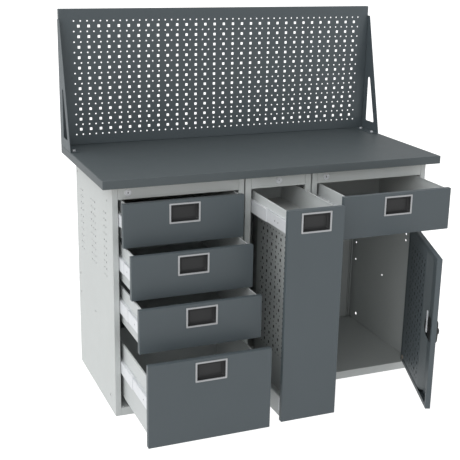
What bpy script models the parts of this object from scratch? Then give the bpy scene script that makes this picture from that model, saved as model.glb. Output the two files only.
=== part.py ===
"""Steel workbench: three pedestals under one worktop, with a perforated tool screen on two brackets.

The left pedestal has four drawers, the middle one a tall pull-out and the right one a drawer over a door.
Everything is in metres, +Z up, with the floor at Z = 0 and the front towards -Y. The drawers, the pull-out
and the door stand open by the amounts below, and those are the rest positions of their joints.
"""
import math

import bpy
import bmesh
from mathutils import Vector
from mathutils.geometry import delaunay_2d_cdt

# Overall sizes
WORKTOP_LENGTH = 1.280
WORKTOP_DEPTH = 0.6055
WORKTOP_THICK = 0.029
WORKTOP_OVERHANG = 0.0345
WORKTOP_SKIN = 0.0015
WORKTOP_LIP = 0.020
SCREEN_HEIGHT = 0.500
PEDESTAL_HEIGHT = 0.830
PEDESTAL_DEPTH = 0.505
SIDE_PEDESTAL_WIDTH = 0.470
MIDDLE_PEDESTAL_WIDTH = 0.252
PEDESTAL_SPACING = 0.005

# Sheet thicknesses and clearances
SHEET = 0.0012
THIN_SHEET = 0.0010
BRACKET_SHEET = 0.0017
SEAT = 0.0003
FRONT_GAP = 0.0015
LAYER_GAP = 0.0028

# Pedestal frame
SIDE_STILE = 0.020
MIDDLE_STILE = 0.022
STILE_LIP = 0.012
RAIL_HEIGHT = 0.0462
RAIL_DEPTH = 0.018
PLINTH_HEIGHT = 0.0302
CROSS_RAIL_HEIGHT = 0.034

# Drawer fronts and boxes
FRONT_THICK = 0.018
FRONT_LIP = 0.012
SMALL_FRONT = 0.150
FRONTS_BOTTOM = 0.0355
BOX_LENGTH = 0.450
BOX_LIP = 0.010
SMALL_BOX = 0.129
SMALL_BOX_DROP = 0.002
DEEP_BOX = 0.202
DEEP_BOX_DROP = 0.057
DRAWER_OUT = (0.054, 0.142, 0.224, 0.315)
RIGHT_DRAWER_OUT = 0.200
PULLOUT_OUT = 0.298

# Telescopic slides
SLIDE_LENGTH = 0.450
SLIDE_HEIGHT = 0.048
SLIDE_SPACE = 0.0130
SLIDE_WALL = 0.0013
SLIDE_DROP = 0.067
DEEP_SLIDE_DROP = 0.1395
PULLOUT_SLIDE_DROP = 0.060
UPRIGHT_FRONT = 0.080
UPRIGHT_MIDDLE = 0.245
UPRIGHT_BACK = 0.445
UPRIGHT_END_GAP = 0.010
SHORT_UPRIGHT = 0.140

# Recessed handles
HANDLE_WIDTH = 0.110
HANDLE_HEIGHT = 0.070
HANDLE_TOP = 0.010
HANDLE_RIM = 0.007
HANDLE_PROUD = 0.0020
CUP_WALL = 0.0015
CUP_DEPTH = 0.0130

# Perforation
HOLE_PITCH = 0.038
HOLE_SIDE = 0.010
SCREEN_SIDE_MARGIN = 0.060
SCREEN_HOLE_OFFSET = 0.004
SCREEN_TOP_ROW = 0.0618
SCREEN_LOW_MARGIN = 0.050
SCREEN_FOLD = 0.0185

# Screen brackets; the window's corners are (in front of the screen's face, above the worktop)
BRACKET_HEIGHT = 0.463
BRACKET_TOP_DEPTH = 0.0145
BRACKET_FOOT_DEPTH = 0.1355
BRACKET_FOOT_WIDTH = 0.035
BRACKET_WINDOW = (
    (0.0290, 0.041), (0.0290, 0.213), (0.0330, 0.217), (0.0400, 0.217),
    (0.0440, 0.213), (0.0925, 0.041), (0.0895, 0.037), (0.0330, 0.037),
)

# Pull-out
PULLOUT_TRAY_TOP = 0.0105
PULLOUT_TRAY_HEIGHT = 0.0765
PULLOUT_BASE_TRAY = 0.073
PULLOUT_BASE_CLEAR = 0.0070
PULLOUT_FIRST_COLUMN = 0.0459
PULLOUT_LAST_MARGIN = 0.030
PULLOUT_TOP_ROW = 0.0187
PULLOUT_PLAIN_FOOT = 0.130
PULLOUT_SCREEN_FOLD = 0.012

# Door
DOOR_ANGLE = math.radians(70.0)
HINGE_INSET = 0.006
HINGE_GAP = 0.0028
DOOR_FREE_GAP = 0.0017
DOOR_THICK = 0.018
DOOR_LIP = 0.015
DOOR_FIRST_COLUMN = 0.062
DOOR_PLAIN_STRIP = 0.150
DOOR_TOP_ROW = 0.0774
DOOR_LOW_MARGIN = 0.040
HINGE_PIN_RADIUS = 0.003
LOCK_FROM_FREE_EDGE = 0.0615
LOCK_HEIGHT = 0.316
CAM_LENGTH = 0.075
CAM_WIDTH = 0.013

# Drawer locks
LOCK_RADIUS = 0.0080
LOCK_LENGTH = 0.0235
LOCK_FROM_EDGE = 0.035

# Derived levels and planes
WORKTOP_UNDER = PEDESTAL_HEIGHT + SEAT
WORKTOP_TOP = WORKTOP_UNDER + WORKTOP_THICK
RAIL_TOP = PEDESTAL_HEIGHT - SEAT
RAIL_BOTTOM = RAIL_TOP - RAIL_HEIGHT
FRONTS_TOP = RAIL_BOTTOM - FRONT_GAP
FLOOR_TOP = PLINTH_HEIGHT + SEAT
CROSS_RAIL_TOP = FRONTS_TOP - SMALL_FRONT - LAYER_GAP
CROSS_RAIL_BOTTOM = CROSS_RAIL_TOP - CROSS_RAIL_HEIGHT
DOOR_TOP = CROSS_RAIL_BOTTOM - LAYER_GAP
DOOR_BOTTOM = FRONTS_BOTTOM
DOOR_WIDTH = SIDE_PEDESTAL_WIDTH - 2 * SIDE_STILE - HINGE_GAP - DOOR_FREE_GAP
LOCK_FROM_HINGE = DOOR_WIDTH - HINGE_INSET - LOCK_FROM_FREE_EDGE
DOOR_SWING = (DOOR_WIDTH - HINGE_INSET) * math.sin(DOOR_ANGLE)
DOOR_REACH = DOOR_SWING + HINGE_INSET * math.cos(DOOR_ANGLE) - HINGE_INSET
BEHIND_FRONT = WORKTOP_DEPTH - WORKTOP_OVERHANG
FRONT_Y = (DOOR_REACH - BEHIND_FRONT) / 2
BACK_Y = FRONT_Y + PEDESTAL_DEPTH
WORKTOP_BACK = FRONT_Y + BEHIND_FRONT
SCREEN_FACE = WORKTOP_BACK - 0.0005 - SCREEN_FOLD
SCREEN_BOTTOM = WORKTOP_TOP + SEAT
SLIDE_FRONT = FRONT_Y + FRONT_THICK + 0.004
BOX_INSET = SLIDE_SPACE - THIN_SHEET / 2 - SEAT

# Each pedestal's left side, width and stile width
BESIDE_MIDDLE = MIDDLE_PEDESTAL_WIDTH / 2 + PEDESTAL_SPACING
PEDESTALS = {
    "left": (-BESIDE_MIDDLE - SIDE_PEDESTAL_WIDTH, SIDE_PEDESTAL_WIDTH, SIDE_STILE),
    "middle": (-MIDDLE_PEDESTAL_WIDTH / 2, MIDDLE_PEDESTAL_WIDTH, MIDDLE_STILE),
    "right": (BESIDE_MIDDLE, SIDE_PEDESTAL_WIDTH, SIDE_STILE),
}

# Paints and metals: colour, roughness, metallic
DARK_PAINT = ((0.090, 0.112, 0.125, 1.0), 0.45, 0.0)
LIGHT_PAINT = ((0.62, 0.65, 0.64, 1.0), 0.45, 0.0)
ZINC = ((0.78, 0.80, 0.82, 1.0), 0.30, 1.0)
BLACK_PLASTIC = ((0.020, 0.020, 0.022, 1.0), 0.50, 0.0)
BOARD = ((0.45, 0.33, 0.20, 1.0), 0.70, 0.0)


def clear_scene():
    """Remove what the opened file holds."""
    for existing in list(bpy.data.objects):
        bpy.data.objects.remove(existing, do_unlink=True)


def finish(name, bm, look, pivot=(0.0, 0.0, 0.0), smooth=False):
    """Turn a mesh into a named object with its own material and its origin at the pivot."""
    bmesh.ops.recalc_face_normals(bm, faces=bm.faces[:])
    bmesh.ops.translate(bm, verts=bm.verts[:], vec=-Vector(pivot))
    mesh = bpy.data.meshes.new(name)
    bm.to_mesh(mesh)
    bm.free()
    item = bpy.data.objects.new(name, mesh)
    item.location = pivot
    bpy.context.scene.collection.objects.link(item)
    material = bpy.data.materials.new(name + "_finish")
    material.use_nodes = True
    shader = material.node_tree.nodes["Principled BSDF"]
    shader.inputs["Base Color"].default_value = look[0]
    shader.inputs["Roughness"].default_value = look[1]
    shader.inputs["Metallic"].default_value = look[2]
    mesh.materials.append(material)
    if smooth:
        mesh.polygons.foreach_set("use_smooth", [True] * len(mesh.polygons))
    return item


def combine(target, shapes, operation):
    """Join the solids of a bmesh to an object, or cut them out of it."""
    bmesh.ops.recalc_face_normals(shapes, faces=shapes.faces[:])
    mesh = bpy.data.meshes.new(target.name + "_tool")
    shapes.to_mesh(mesh)
    shapes.free()
    tool = bpy.data.objects.new(target.name + "_tool", mesh)
    bpy.context.scene.collection.objects.link(tool)
    modifier = target.modifiers.new("joined", "BOOLEAN")
    modifier.operation = operation
    modifier.solver = "EXACT"
    modifier.object = tool
    bpy.context.view_layer.update()
    graph = bpy.context.evaluated_depsgraph_get()
    result = bpy.data.meshes.new_from_object(target.evaluated_get(graph))
    target.modifiers.remove(modifier)
    target.data = result
    bpy.data.objects.remove(tool, do_unlink=True)


def box(bm, low, high):
    """Add one block."""
    corners = [(x, y, z) for x in (low[0], high[0]) for y in (low[1], high[1]) for z in (low[2], high[2])]
    verts = [bm.verts.new(corner) for corner in corners]
    for ring in ((0, 1, 3, 2), (4, 6, 7, 5), (0, 4, 5, 1), (2, 3, 7, 6), (0, 2, 6, 4), (1, 5, 7, 3)):
        bm.faces.new([verts[i] for i in ring])


def fill(bm, outline, holes):
    """Close an outline that has holes in it. Each loop is a list of (flat point, vertex) pairs."""
    points = []
    verts = []
    edges = []
    owner = []
    for number, loop in enumerate([outline] + list(holes)):
        first = len(points)
        for index, (point, vert) in enumerate(loop):
            points.append(Vector(point))
            verts.append(vert)
            owner.append(number)
            edges.append((first + index, first + (index + 1) % len(loop)))
    if not holes:
        bm.faces.new(verts)
        return
    found = delaunay_2d_cdt(points, edges, [], 1, 1e-7)
    source = [found[3][i][0] for i in range(len(found[0]))]
    for face in found[2]:
        corners = [source[i] for i in face]
        loops = {owner[i] for i in corners}
        if len(loops) == 1 and 0 not in loops:
            continue
        bm.faces.new([verts[i] for i in corners])


def walls(bm, lower, upper):
    """Join two rings of vertices."""
    for i in range(len(lower)):
        j = (i + 1) % len(lower)
        bm.faces.new((lower[i], lower[j], upper[j], upper[i]))


def rectangle(width, height, inset=(0.0, 0.0, 0.0, 0.0)):
    """Flat corners of a rectangle; the insets are for its left, bottom, right and top edges."""
    left, bottom, right, top = inset
    return [(left, bottom), (width - right, bottom), (width - right, height - top), (left, height - top)]


def folded_pan(bm, place, width, height, profile, holes=()):
    """A folded sheet pan. The profile lists (inset, depth) from the outer face round to the inner face.

    An inset is one number for all four edges, or four of them. The holes go through the sheet.
    """
    rings = []
    for inset, depth in profile:
        edges = inset if isinstance(inset, tuple) else (inset,) * 4
        flat = rectangle(width, height, edges)
        rings.append([(point, bm.verts.new(place(point[0], point[1], depth))) for point in flat])
    for lower, upper in zip(rings, rings[1:]):
        walls(bm, [vert for _, vert in lower], [vert for _, vert in upper])
    outer_holes = []
    inner_holes = []
    for hole in holes:
        outer = [(point, bm.verts.new(place(point[0], point[1], profile[0][1]))) for point in hole]
        inner = [(point, bm.verts.new(place(point[0], point[1], profile[-1][1]))) for point in hole]
        walls(bm, [vert for _, vert in outer], [vert for _, vert in inner])
        outer_holes.append(outer)
        inner_holes.append(inner)
    fill(bm, rings[0], outer_holes)
    fill(bm, rings[-1], inner_holes)


def prism(bm, place, outline, low, high, holes=()):
    """Extrude a flat outline, with holes, from one depth to another."""
    loops = []
    for depth in (low, high):
        level = []
        for loop in [outline, *holes]:
            level.append([(p, bm.verts.new(place(p[0], p[1], depth))) for p in loop])
        loops.append(level)
    for lower, upper in zip(*loops):
        walls(bm, [vert for _, vert in lower], [vert for _, vert in upper])
    for level in loops:
        fill(bm, level[0], level[1:])


def circle(centre, radius, sides=16):
    """Flat corners of a round."""
    turns = [2 * math.pi * (i + 0.5) / sides for i in range(sides)]
    return [(centre[0] + radius * math.cos(t), centre[1] + radius * math.sin(t)) for t in turns]


def square(centre, side):
    """Flat corners of a square."""
    half = side / 2
    return [(centre[0] + half * a, centre[1] + half * b) for a, b in ((-1, -1), (1, -1), (1, 1), (-1, 1))]


def hole_grid(first, top, width, height):
    """Square holes in rows from a first centre, across and down, as far as a width and a height allow."""
    holes = []
    for row in range(int(height / HOLE_PITCH) + 1):
        for column in range(int(width / HOLE_PITCH) + 1):
            holes.append(square((first + column * HOLE_PITCH, top - row * HOLE_PITCH), HOLE_SIDE))
    return holes


def slot(low, high, corner):
    """Flat corners of a rectangle with cut corners."""
    (a, b), (c, d) = low, high
    k = corner
    return [(a + k, b), (c - k, b), (c, b + k), (c, d - k), (c - k, d), (a + k, d), (a, d - k), (a, b + k)]


def fold(thickness, depth, lip=0.0):
    """The profile of a pan: its outer face, its edges folded back, and a lip when there is one."""
    if not lip:
        return [(0.0, 0.0), (0.0, depth), (thickness, depth), (thickness, thickness)]
    return [
        (0.0, 0.0),
        (0.0, depth),
        (lip, depth),
        (lip, depth - thickness),
        (thickness, depth - thickness),
        (thickness, thickness),
    ]


def facing_front(x, y, z):
    """Place flat points on a plane that faces -Y: across, up and into the bench."""
    return lambda a, b, d: (x + a, y + d, z + b)


def facing_side(x, y, z, inward):
    """Place flat points on a plane that faces sideways: back, up and inward."""
    return lambda a, b, d: (x + inward * d, y + a, z + b)


def facing_up(x, y, z, down=1.0):
    """Place flat points on a level plane: across, back and down."""
    return lambda a, b, d: (x + a, y + b, z - down * d)


def opening(name):
    """The clear width between a pedestal's stiles, as its two X values."""
    left, width, stile = PEDESTALS[name]
    return left + stile, left + width - stile


def make_worktop():
    """Board core, and the steel skin folded down round its edges and in under them."""
    place = facing_up(-WORKTOP_LENGTH / 2, FRONT_Y - WORKTOP_OVERHANG, WORKTOP_TOP)
    bm = bmesh.new()
    folded_pan(bm, place, WORKTOP_LENGTH, WORKTOP_DEPTH, fold(WORKTOP_SKIN, WORKTOP_THICK, WORKTOP_LIP))
    finish("worktop_shell", bm, DARK_PAINT)
    side = WORKTOP_SKIN + SEAT
    lip = WORKTOP_LIP + SEAT
    bm = bmesh.new()
    profile = [(side, side), (side, WORKTOP_THICK - side), (lip, WORKTOP_THICK - side), (lip, WORKTOP_THICK)]
    folded_pan(bm, place, WORKTOP_LENGTH, WORKTOP_DEPTH, profile)
    finish("worktop_core", bm, BOARD)


def make_screen():
    """Perforated tool screen, with its four edges folded back."""
    bm = bmesh.new()
    width = WORKTOP_LENGTH - 2 * (BRACKET_SHEET + SEAT)
    place = facing_front(-width / 2, SCREEN_FACE, SCREEN_BOTTOM)
    columns = int((width - 2 * SCREEN_SIDE_MARGIN) / HOLE_PITCH)
    first = width / 2 + SCREEN_HOLE_OFFSET - HOLE_PITCH * columns / 2
    rows = SCREEN_HEIGHT - SCREEN_TOP_ROW - SCREEN_LOW_MARGIN
    holes = hole_grid(first, SCREEN_HEIGHT - SCREEN_TOP_ROW, (columns + 0.5) * HOLE_PITCH, rows)
    folded_pan(bm, place, width, SCREEN_HEIGHT, fold(SHEET, SCREEN_FOLD), holes)
    finish("screen_panel", bm, DARK_PAINT)


def make_screen_brackets():
    """Two sheet gussets that hold the screen's ends, each on a foot turned in over the worktop."""
    bottom = SCREEN_BOTTOM
    top = bottom + BRACKET_HEIGHT
    front = SCREEN_FACE - BRACKET_FOOT_DEPTH
    back = SCREEN_FACE + SCREEN_FOLD - SEAT
    outline = [(back, bottom), (back, top), (SCREEN_FACE - BRACKET_TOP_DEPTH, top), (front, bottom)]
    window = []
    for inset, height in BRACKET_WINDOW:
        window.append((SCREEN_FACE - inset, bottom + height))
    for name, side in (("screen_bracket_left", -1.0), ("screen_bracket_right", 1.0)):
        outer = side * WORKTOP_LENGTH / 2
        bm = bmesh.new()
        prism(bm, facing_side(outer, 0.0, 0.0, -side), outline, 0.0, BRACKET_SHEET, [window])
        bracket = finish(name, bm, DARK_PAINT)
        ends = sorted((outer - side * BRACKET_SHEET / 2, outer - side * BRACKET_FOOT_WIDTH))
        foot = bmesh.new()
        box(foot, (ends[0], front + 0.001, bottom), (ends[1], SCREEN_FACE - SEAT, bottom + BRACKET_SHEET))
        combine(bracket, foot, "UNION")


def make_shell(name):
    """A pedestal's welded shell: two folded side panels, whose front folds are the stiles, and a back."""
    left, width, stile = PEDESTALS[name]
    low, high = opening(name)
    bm = bmesh.new()
    for x, inward in ((left, 1.0), (left + width, -1.0)):
        place = facing_side(x, FRONT_Y, 0.0, inward)
        folded_pan(bm, place, PEDESTAL_DEPTH, PEDESTAL_HEIGHT, fold(SHEET, stile, STILE_LIP))
    shell = finish(name + "_shell", bm, LIGHT_PAINT)
    weld = SHEET / 2
    rear = BACK_Y - 0.0035
    panel = bmesh.new()
    top = PEDESTAL_HEIGHT - 2 * SEAT
    box(panel, (low - weld, rear - THIN_SHEET, FLOOR_TOP + SEAT), (high + weld, rear, top))
    combine(shell, panel, "UNION")


def make_base(name):
    """Floor pan over the shell's lower folds, welded to the plinth strip in front of it."""
    left, width, stile = PEDESTALS[name]
    low, high = opening(name)
    bm = bmesh.new()
    inside = left + SHEET + SEAT
    front = FRONT_Y + STILE_LIP + SEAT
    place = facing_up(inside, front, FLOOR_TOP)
    depth = PEDESTAL_DEPTH - 2 * (STILE_LIP + SEAT)
    floor_fold = FLOOR_TOP - STILE_LIP - SEAT
    folded_pan(bm, place, width - 2 * (SHEET + SEAT), depth, fold(SHEET, floor_fold))
    base = finish(name + "_base", bm, LIGHT_PAINT)
    strip = bmesh.new()
    place = facing_front(low + SEAT, FRONT_Y, 0.0)
    strip_fold = STILE_LIP + SEAT + SHEET / 2
    folded_pan(strip, place, high - low - 2 * SEAT, PLINTH_HEIGHT, fold(SHEET, strip_fold))
    combine(base, strip, "UNION")
    if name == "right":
        x, y = door_hinge()
        start = PLINTH_HEIGHT - SHEET / 2
        combine(base, hinge_pin(x, y, start, DOOR_BOTTOM, 1.0), "UNION")


def hinge_pin(x, y, start, door_edge, upward):
    """A pivot for the door: a collar from the frame to the door's edge, then the pin that enters the door."""
    collar = HINGE_PIN_RADIUS + 0.0015
    steps = [
        (collar, start),
        (collar, door_edge - upward * SEAT),
        (HINGE_PIN_RADIUS, door_edge - upward * SEAT),
        (HINGE_PIN_RADIUS, door_edge + upward * 0.012),
    ]
    bm = bmesh.new()
    rings = []
    for radius, z in steps:
        rings.append([bm.verts.new((x + a, y + b, z)) for a, b in circle((0.0, 0.0), radius, 12)])
    for lower, upper in zip(rings, rings[1:]):
        walls(bm, lower, upper)
    bm.faces.new(rings[0])
    bm.faces.new(rings[-1])
    return bm


def make_top_rail(name):
    """Front rail under the worktop, with the hole for the lock."""
    low, high = opening(name)
    bm = bmesh.new()
    width = high - low - 2 * SEAT
    hole = circle((lock_x(name) - low - SEAT, RAIL_HEIGHT / 2), LOCK_RADIUS + SEAT)
    place = facing_front(low + SEAT, FRONT_Y, RAIL_BOTTOM)
    folded_pan(bm, place, width, RAIL_HEIGHT, fold(SHEET, RAIL_DEPTH), [hole])
    finish(name + "_top_rail", bm, LIGHT_PAINT)


def make_cross_rail():
    """The rail between the right drawer and the door, with the door's upper pivot."""
    low, high = opening("right")
    bm = bmesh.new()
    place = facing_front(low + SEAT, FRONT_Y, CROSS_RAIL_BOTTOM)
    folded_pan(bm, place, high - low - 2 * SEAT, CROSS_RAIL_HEIGHT, fold(SHEET, RAIL_DEPTH))
    rail = finish("right_cross_rail", bm, LIGHT_PAINT)
    x, y = door_hinge()
    combine(rail, hinge_pin(x, y, CROSS_RAIL_BOTTOM + SHEET / 2, DOOR_TOP, -1.0), "UNION")


def lock_x(name):
    """Where a pedestal's drawer lock sits across its rail."""
    low, high = opening(name)
    return (low + high) / 2 if name == "middle" else low + LOCK_FROM_EDGE


def make_lock(name):
    """Cylinder lock in the top rail: a barrel with its key slot, and a cam at its back end."""
    x = lock_x(name)
    z = RAIL_BOTTOM + RAIL_HEIGHT / 2
    bm = bmesh.new()
    place = facing_front(x, FRONT_Y, z)
    prism(bm, place, circle((0.0, 0.0), LOCK_RADIUS), -0.0015, LOCK_LENGTH - 0.0035)
    item = finish(name + "_lock", bm, ZINC, (x, FRONT_Y, z))
    cam = bmesh.new()
    arm = [(-0.006, -0.006), (0.017, -0.0045), (0.017, 0.0045), (-0.006, 0.006)]
    prism(cam, place, arm, LOCK_LENGTH - 0.0045, LOCK_LENGTH - 0.0015)
    combine(item, cam, "UNION")
    keyway = bmesh.new()
    box(keyway, (x - 0.0008, FRONT_Y - 0.010, z - 0.0045), (x + 0.0008, FRONT_Y + 0.002, z + 0.0045))
    combine(item, keyway, "DIFFERENCE")


def slide_member(bm, x, inward, y, z, level, reach):
    """One slide member: a channel open towards the box. Each level runs inside the one before it."""
    web = level * (SLIDE_WALL + SEAT)
    half = SLIDE_HEIGHT / 2 - web
    inner = half - SLIDE_WALL
    outline = [
        (web, -half), (reach, -half), (reach, -inner), (web + SLIDE_WALL, -inner),
        (web + SLIDE_WALL, inner), (reach, inner), (reach, half), (web, half),
    ]
    place = lambda a, b, d: (x + inward * a, y + d, z + b)
    prism(bm, place, outline, 0.0, SLIDE_LENGTH)


def slide_sides(name):
    """A pedestal's two slide planes: the side's name, where the fixed channel starts, and the way in."""
    low, high = opening(name)
    return (("left", low + SEAT, 1.0), ("right", high - SEAT, -1.0))


def make_slide_frames(name, heights, distances, bottom, top):
    """A rack on each side panel: hat-section uprights with the fixed slide channels welded on."""
    stile = PEDESTALS[name][2]
    reach = 0.026
    web = 0.014
    depth = stile - SHEET + SHEET / 2
    outline = [
        (-web, 0.0), (web, 0.0), (web, depth - SHEET), (reach, depth - SHEET), (reach, depth),
        (web - SHEET, depth), (web - SHEET, SHEET), (SHEET - web, SHEET), (SHEET - web, depth),
        (-reach, depth), (-reach, depth - SHEET), (-web, depth - SHEET),
    ]
    for side, x, inward in slide_sides(name):
        face = x + inward * (SHEET / 2 - SEAT)
        uprights = bmesh.new()
        for distance in distances:
            y = FRONT_Y + distance
            place = lambda a, b, d: (face - inward * b, y + a, d)
            prism(uprights, place, outline, bottom, top)
        frame = finish(name + "_slide_frame_" + side, uprights, ZINC)
        channels = bmesh.new()
        for z in heights:
            slide_member(channels, x, inward, SLIDE_FRONT, z, 0, BOX_INSET - 2 * SEAT)
        combine(frame, channels, "UNION")


def make_middle_members(label, name, z, out):
    """The middle members of a pair of slides, half as far out as the drawer."""
    for side, x, inward in slide_sides(name):
        bm = bmesh.new()
        slide_member(bm, x, inward, SLIDE_FRONT - out / 2, z, 1, BOX_INSET - 2 * SEAT)
        finish(label + "_slide_" + side, bm, ZINC, (x, FRONT_Y - out / 2, z))


def make_front(label, name, top, bottom, out):
    """A folded front with the cut-out for its handle."""
    low, high = opening(name)
    bm = bmesh.new()
    width = high - low - 2 * FRONT_GAP
    y = FRONT_Y - out
    place = facing_front(low + FRONT_GAP, y, bottom)
    rim = HANDLE_RIM - CUP_WALL - SEAT
    left = (width - HANDLE_WIDTH) / 2 + rim
    high_edge = top - bottom - HANDLE_TOP - rim
    low_edge = top - bottom - HANDLE_TOP - HANDLE_HEIGHT + rim
    hole = [(left, low_edge), (width - left, low_edge), (width - left, high_edge), (left, high_edge)]
    folded_pan(bm, place, width, top - bottom, fold(SHEET, FRONT_THICK, FRONT_LIP), [hole])
    finish(label + "_front", bm, DARK_PAINT, (0.0, y, (top + bottom) / 2))


def make_handle(label, name, top, out):
    """A recessed pull: a raised rim round a cup with sloping sides."""
    low, high = opening(name)
    x = (low + high - HANDLE_WIDTH) / 2
    y = FRONT_Y - out
    bottom = top - HANDLE_TOP - HANDLE_HEIGHT
    wall = HANDLE_RIM - CUP_WALL
    proud = -HANDLE_PROUD - SEAT
    profile = [
        (wall, CUP_DEPTH + CUP_WALL), (wall, -SEAT), (0.0, -SEAT), (0.0, proud),
        (HANDLE_RIM, proud), (HANDLE_RIM, 0.003), (HANDLE_RIM + 0.005, CUP_DEPTH),
    ]
    bm = bmesh.new()
    folded_pan(bm, facing_front(x, y, bottom), HANDLE_WIDTH, HANDLE_HEIGHT, profile)
    finish(label + "_handle", bm, ZINC, (0.0, y, bottom + HANDLE_HEIGHT / 2))


def make_tray(label, name, top, height, out, slide_z=None):
    """An open box folded from sheet, its top edges turned in, with the slides' drawer members on its sides."""
    low, high = opening(name)
    inset = BOX_INSET
    y = FRONT_Y - out + FRONT_THICK + SEAT
    place = lambda a, b, d: (low + inset + a, y + b, top - height + d)
    bm = bmesh.new()
    folded_pan(bm, place, high - low - 2 * inset, BOX_LENGTH, fold(THIN_SHEET, height, BOX_LIP))
    tray = finish(label, bm, LIGHT_PAINT, (0.0, y, top - height))
    if slide_z is None:
        return
    members = bmesh.new()
    for side, x, inward in slide_sides(name):
        slide_member(members, x, inward, SLIDE_FRONT - out, slide_z, 2, BOX_INSET - SEAT + THIN_SHEET / 2)
    combine(tray, members, "UNION")


def make_drawer(label, name, top, bottom, box_drop, box_height, slide_drop, out):
    """One whole drawer."""
    make_front(label, name, top, bottom, out)
    make_handle(label, name, top, out)
    make_tray(label + "_box", name, top - box_drop, box_height, out, top - slide_drop)
    make_middle_members(label, name, top - slide_drop, out)


def make_pullout():
    """The tall pull-out: two trays, a perforated tool panel between them, and one long front."""
    low, high = opening("middle")
    top = FRONTS_TOP
    out = PULLOUT_OUT
    make_front("pullout", "middle", top, FRONTS_BOTTOM, out)
    make_handle("pullout", "middle", top, out)
    tray_top = top - PULLOUT_TRAY_TOP
    make_tray("pullout_top_tray", "middle", tray_top, PULLOUT_TRAY_HEIGHT, out, top - PULLOUT_SLIDE_DROP)
    base_bottom = FLOOR_TOP + PULLOUT_BASE_CLEAR
    make_tray("pullout_base_tray", "middle", base_bottom + PULLOUT_BASE_TRAY, PULLOUT_BASE_TRAY, out)
    make_middle_members("pullout", "middle", top - PULLOUT_SLIDE_DROP, out)
    front = FRONT_Y - out + FRONT_THICK
    bottom = base_bottom + THIN_SHEET + SEAT
    height = tray_top - PULLOUT_TRAY_HEIGHT - SEAT - bottom
    start = front + BOX_LIP + 2 * SEAT
    length = BOX_LENGTH - 2 * BOX_LIP - 2 * SEAT
    across = length - PULLOUT_FIRST_COLUMN - PULLOUT_LAST_MARGIN
    down = height - PULLOUT_TOP_ROW - PULLOUT_PLAIN_FOOT
    holes = hole_grid(PULLOUT_FIRST_COLUMN, height - PULLOUT_TOP_ROW, across, down)
    bm = bmesh.new()
    place = facing_side(-PULLOUT_SCREEN_FOLD / 2, start, bottom, 1.0)
    folded_pan(bm, place, length, height, fold(SHEET, PULLOUT_SCREEN_FOLD), holes)
    finish("pullout_tool_panel", bm, LIGHT_PAINT, (0.0, start, bottom))


def door_hinge():
    """The hinge axis of the door, as X and Y."""
    high = opening("right")[1]
    return high - HINGE_GAP - HINGE_INSET, FRONT_Y + HINGE_INSET


def door_point(s, off, z):
    """A point on the open door: along it from the hinge axis, inward from the axis, and up."""
    x, y = door_hinge()
    c = math.cos(DOOR_ANGLE)
    n = math.sin(DOOR_ANGLE)
    return (x - s * c - off * n, y - s * n + off * c, z)


def make_door():
    """Folded door leaf on two pivots, with a perforated inner sheet and its lock."""
    x, y = door_hinge()
    height = DOOR_TOP - DOOR_BOTTOM
    lock_at = (LOCK_FROM_HINGE + HINGE_INSET, LOCK_HEIGHT - DOOR_BOTTOM)
    bm = bmesh.new()
    place = lambda a, b, d: door_point(a - HINGE_INSET, d - HINGE_INSET, DOOR_BOTTOM + b)
    skin_hole = circle(lock_at, 0.0075, 12)
    folded_pan(bm, place, DOOR_WIDTH, height, fold(SHEET, DOOR_THICK, DOOR_LIP), [skin_hole])
    leaf = finish("door_leaf", bm, DARK_PAINT, (x, y, DOOR_BOTTOM))
    bores = bmesh.new()
    for low, high in ((DOOR_BOTTOM - 0.002, DOOR_BOTTOM + 0.004), (DOOR_TOP - 0.004, DOOR_TOP + 0.002)):
        prism(bores, facing_up(x, y, 0.0, -1.0), circle((0.0, 0.0), HINGE_PIN_RADIUS + SEAT, 12), low, high)
    combine(leaf, bores, "DIFFERENCE")
    bm = bmesh.new()
    back = DOOR_THICK - SHEET - SEAT
    rim = SHEET + SEAT
    place = lambda a, b, d: door_point(a + rim - HINGE_INSET, d - HINGE_INSET, DOOR_BOTTOM + rim + b)
    sheet_width = DOOR_WIDTH - 2 * rim
    sheet_height = height - 2 * rim
    across = lock_at[0] - rim
    up = lock_at[1] - rim
    window = slot((across - 0.020, up - 0.040), (across + 0.020, up + 0.037), 0.010)
    notch = slot((DOOR_WIDTH - 0.092, 0.0145), (DOOR_WIDTH - 0.028, 0.040), 0.003)
    outline = rectangle(sheet_width, sheet_height)
    wide = sheet_width - DOOR_FIRST_COLUMN - DOOR_PLAIN_STRIP
    high = sheet_height - DOOR_TOP_ROW - DOOR_LOW_MARGIN
    holes = hole_grid(DOOR_FIRST_COLUMN, sheet_height - DOOR_TOP_ROW, wide, high) + [window, notch]
    prism(bm, place, outline, back - THIN_SHEET, back, holes)
    finish("door_inner_sheet", bm, DARK_PAINT, (x, y, DOOR_BOTTOM))
    make_door_lock()


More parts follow.
